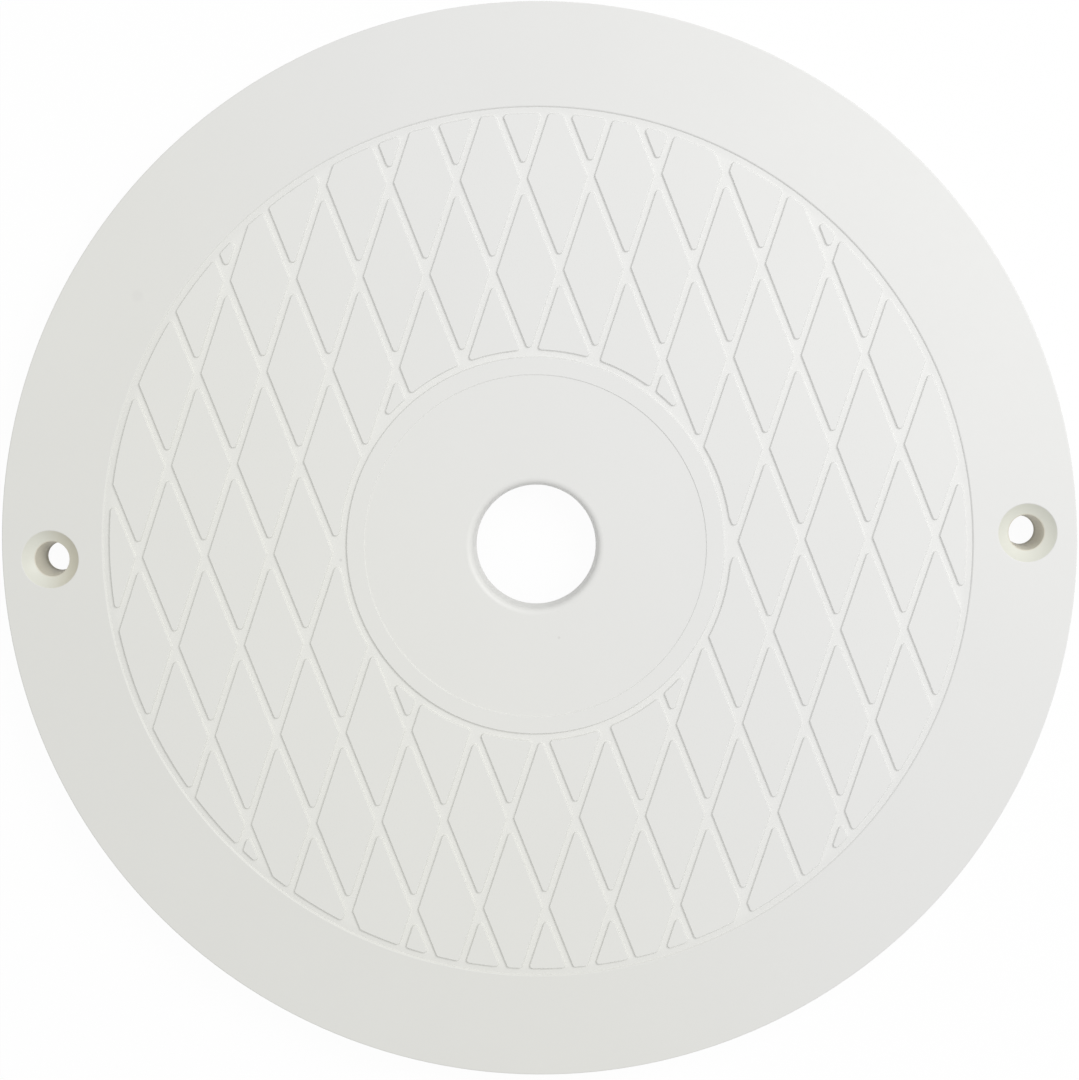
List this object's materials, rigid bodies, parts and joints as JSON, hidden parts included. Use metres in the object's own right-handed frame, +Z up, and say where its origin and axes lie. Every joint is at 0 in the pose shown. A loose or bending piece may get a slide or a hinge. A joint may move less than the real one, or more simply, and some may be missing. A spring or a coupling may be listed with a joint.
{
  "type": "pool skimmer lid",
  "caption": "Round screw-down lid for a pool skimmer collar, with a diamond tread, a finger hole in the middle and a ribbed underside.",
  "frame": {"origin": "middle of the seat under the lid's skirt, on the finger hole's axis", "axes": "+X through the centres of the two screw holes, +Y along the tread diamonds' long diagonals, +Z up through the lid"},
  "size_m": [0.2508, 0.2508, 0.0127],
  "materials": {
    "lid_plastic": "off-white satin moulded plastic"
  },
  "bodies": {
    "root": {"lid": "lid_plastic"}
  },
  "joints": []
}
